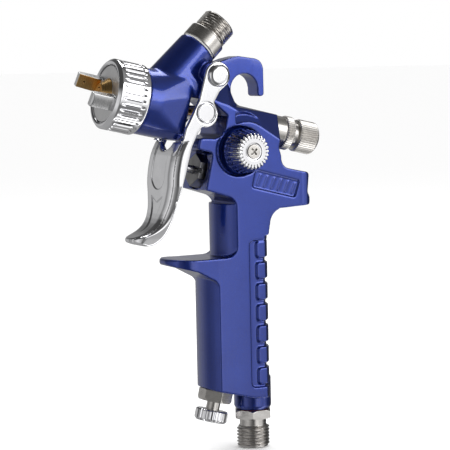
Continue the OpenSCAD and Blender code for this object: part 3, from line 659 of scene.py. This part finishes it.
def make_fluid_knobs():
    low, high = span("fluid_knob", KNOB)
    outer = radius_of("fluid_knob", KNOB)
    knurl_low, knurl_high = high - 8.7, high - 1.3
    profile = rounded([
        (low, 0), (low, 3.5), (knurl_low - 2.9, 3.5), (knurl_low - 2.9, 4.6), (knurl_low - 0.6, 4.6),
        (knurl_low - 0.6, 5.6), (knurl_low, outer), (knurl_high, outer), (high - 0.1, 5.1), (high, 4.3),
        (high, 2.2), (high - 0.5, 1.9), (high - 0.5, 0)], 0.3)
    grip = teeth(KNOB_RIBS, 0.5, knurl_low - 0.2, knurl_high + 0.2, fade=0.25)
    mesh = turned("fluid_knob_knurled", KNOB, sampled(profile, 0.5), KNOB_RIBS * 8, grip)
    add_piece("fluid_knob_knurled", mesh, "fluid_knob", "satin_nickel_spray")

    low, high = span("fluid_lock_nut", KNOB)
    outer = radius_of("fluid_lock_nut", KNOB)
    profile = rounded([
        (low, 3.62), (low, 5.9), (low + 0.5, outer), (high - 0.5, outer), (high, 5.9), (high, 3.62),
        (low, 3.62)], 0.2)
    grip = teeth(KNOB_RIBS, 0.5, low + 0.3, high - 0.3, fade=0.2)
    mesh = turned("lock_nut_knurled", KNOB, sampled(profile, 0.4), KNOB_RIBS * 8, grip)
    add_piece("lock_nut_knurled", mesh, "fluid_lock_nut", "satin_nickel_spray")


def make_pattern_knob():
    low, high = span("pattern_knob", PATTERN)
    profile = rounded([
        (low, 2.05), (low + 0.7, 2.05), (low + 0.7, 6), (low, 6), (low, 8.1), (low + 0.8, 8.8),
        (low + 2.6, 8.6), (high - 0.9, 7.15), (high, 6.5), (high, 3.5), (high - 0.35, 3.3),
        (high - 0.35, 2.9), (high - 1.4, 1.32), (high - 6, 1.32), (high - 6, 2.05), (low, 2.05)], 0.2)
    flutes = teeth(PATTERN_FLUTES, 0.95, low + 0.5, high + 1.5, groove=0.75, fade=1.4)
    mesh = turned("pattern_knob_fluted", PATTERN, sampled(profile, 0.4), PATTERN_FLUTES * 10,
                  outside_of(5.6, flutes))
    add_piece("pattern_knob_fluted", mesh, "pattern_knob", "polished_chrome")


def make_regulator_knob():
    low, high = span("regulator_knob", REGULATOR)
    outer = radius_of("regulator_knob", REGULATOR)
    profile = rounded([
        (low, 2.1), (low, 5.9), (low + 0.6, outer), (high - 1, outer), (high, outer - 0.9), (high, 3.2),
        (high - 0.9, 2.4), (high - 0.9, 1.12), (low + 0.6, 1.12), (low + 0.6, 2.1), (low, 2.1)], 0.2)
    flutes = teeth(REGULATOR_FLUTES, 0.6, low - 0.5, high + 0.5, groove=0.5, fade=0.8)
    mesh = turned("regulator_knob_fluted", REGULATOR, sampled(profile, 0.5), REGULATOR_FLUTES * 10,
                  outside_of(5, flutes))
    add_piece("regulator_knob_fluted", mesh, "regulator_knob", "polished_chrome")


def make_air_inlet():
    low, high = span("air_inlet_nipple", INLET)
    crest = MOUNTS["air_inlet"]["dims"]["r_mm"]
    profile = rounded([
        (low, 4), (low, 5.7), (low + 0.7, crest), (8.0, crest), (8.6, 5.35), (11.4, 5.3), (11.5, 7.2),
        (12.1, 8.08), (14.5, 8.08), (15.1, 7.2), (15.1, 5.05), (high, 5.05), (high, 4), (low, 4)], 0.15, 2)
    cut = together(helix(INLET_PITCH, 0.82, low + 0.1, 8.5), hexagonal(14, 11.45, 15.12, math.radians(63)))
    mesh = turned("air_inlet_threaded", INLET, sampled(profile, 0.14), 120, cut)
    add_piece("air_inlet_threaded", mesh, "air_inlet_nipple", "satin_nickel_inlet")


def make_paint_inlet():
    low, high = span("paint_connector", TUBE)
    crest = MOUNTS["paint_inlet"]["dims"]["r_mm"]
    profile = rounded([
        (low, 3.4), (low, 5.5), (high - 13.5, 5.5), (high - 13.5, 7.6), (high - 13.2, 7.75),
        (high - 8.1, 7.75), (high - 7.8, 7.5), (high - 7.8, 6.15), (high - 6.7, 6.1), (high - 6.5, crest),
        (high - 0.5, crest), (high, 6.4), (high, 5.4), (high - 1.6, 3.4), (low, 3.4)], 0.12, 2)
    mesh = turned("paint_inlet_threaded", TUBE, sampled(profile, 0.14), 120,
                  helix(PAINT_PITCH, 0.58, high - 6.8, high - 0.1))
    add_piece("paint_inlet_threaded", mesh, "paint_connector", "satin_nickel_tube")


def make_round_fittings():
    """Soft-edged versions of the smaller fittings that show."""
    for node, voxel, rounds, keep, material in (
            ("pivot_barrel", 0.14, 6, 0.5, "polished_chrome"),
            ("pivot_screw", 0.14, 3, 0.5, "machined_steel"),
            ("drive_pin", 0.14, 3, 0.5, "polished_chrome"),
            ("pattern_knob_screw", 0.07, 3, 0.5, "satin_nickel_pattern"),
            ("air_valve_gland", 0.14, 3, 0.5, "phosphated_steel"),
            ("regulator_bushing", 0.14, 3, 0.5, "satin_nickel_regulator"),
            ("pattern_bushing", 0.14, 3, 0.5, "satin_nickel_pattern"),
            ("fluid_guide", 0.14, 3, 0.5, "satin_nickel_spray")):
        add_piece(node + "_finished", softened(node, voxel, rounds, keep), node, material, 50)


def make_air_cap():
    piece = add_piece("air_cap_finished", softened("air_cap", 0.14, 4, 0.6), "air_cap", "cap_plating", 50)
    piece.data.materials.append(bpy.data.materials["machined_brass"])
    face = span("retaining_ring", SPRAY)[1] - 0.6
    for polygon in piece.data.polygons:
        middle = (SPRAY_INVERSE @ polygon.center) / MM
        outward = (SPRAY_INVERSE.to_3x3() @ polygon.normal).xy.dot(middle.xy.normalized())
        boss = middle.xy.length < 6.3 and middle.z > face + 0.1
        horn_face = middle.z > face + 1 and outward < -0.5
        if boss or horn_face:
            polygon.material_index = 1


def dress_cad_nodes():
    """Gives every CAD node its procedural material."""
    spray = SPRAY.col[2].to_3d()
    tube = TUBE.col[2].to_3d()
    regulator = REGULATOR.col[2].to_3d()
    up = Vector((0, 0, 1))
    across = Vector((0, 1, 0))
    turned_metal("satin_nickel_spray", (0.66, 0.64, 0.61), (0.5, 0.48, 0.46), 0.26, spray)
    turned_metal("satin_nickel_tube", (0.62, 0.6, 0.57), (0.46, 0.44, 0.42), 0.26, tube)
    turned_metal("satin_nickel_inlet", (0.66, 0.64, 0.62), (0.5, 0.48, 0.46), 0.26, up)
    turned_metal("satin_nickel_regulator", (0.62, 0.6, 0.57), (0.46, 0.44, 0.42), 0.26, regulator)
    turned_metal("satin_nickel_pattern", (0.62, 0.6, 0.57), (0.46, 0.44, 0.42), 0.26, across)
    turned_metal("cap_plating", (0.74, 0.74, 0.74), (0.62, 0.62, 0.63), 0.28, spray)
    turned_metal("machined_brass", (0.86, 0.55, 0.22), (0.6, 0.36, 0.13), 0.24, spray)
    turned_metal("machined_steel", (0.6, 0.6, 0.62), (0.42, 0.42, 0.44), 0.24, spray)
    turned_metal("phosphated_steel", (0.3, 0.3, 0.3), (0.2, 0.2, 0.2), 0.34, spray)
    seal_material("seal_white", (0.86, 0.86, 0.83), (0.74, 0.74, 0.7), 0.45)
    seal_material("seal_black", (0.02, 0.02, 0.02), (0.035, 0.035, 0.035), 0.6)
    seal_material("fibre_red", (0.4, 0.1, 0.06), (0.28, 0.06, 0.04), 0.7)
    by_slot = {
        "blue_body": "blue_coating", "bright_chrome": "polished_chrome", "satin_nickel": "satin_nickel_spray",
        "plated_cap": "cap_plating", "brass": "machined_brass", "steel": "machined_steel",
        "grey_nut": "phosphated_steel", "white_seal": "seal_white", "black_rubber": "seal_black",
        "red_fibre": "fibre_red"}
    by_node = {
        "paint_connector": "satin_nickel_tube", "air_inlet_nipple": "satin_nickel_inlet",
        "regulator_bushing": "satin_nickel_regulator", "regulator_stem": "satin_nickel_regulator",
        "pattern_bushing": "satin_nickel_pattern", "pattern_stem": "satin_nickel_pattern"}
    for name, node in NODES.items():
        node.data.materials.clear()
        node.data.materials.append(bpy.data.materials[by_node.get(name, by_slot[SLOT_OF[name]])])
        node.data.shade_smooth()
        node.data.set_sharp_from_angle(angle=math.radians(35))


blue_coating("blue_coating")
polished_chrome("polished_chrome")
dress_cad_nodes()
make_body()
make_trigger()
make_retaining_ring()
make_air_cap()
make_fluid_knobs()
make_pattern_knob()
make_regulator_knob()
make_air_inlet()
make_paint_inlet()
make_round_fittings()

make_world()
make_stage()
softbox("key", 35, 20, 0.5, 0.5, 2)
softbox("top", 150, 60, 0.6, 0.4, 3)
make_camera()
bpy.context.scene.view_settings.view_transform = "Standard"
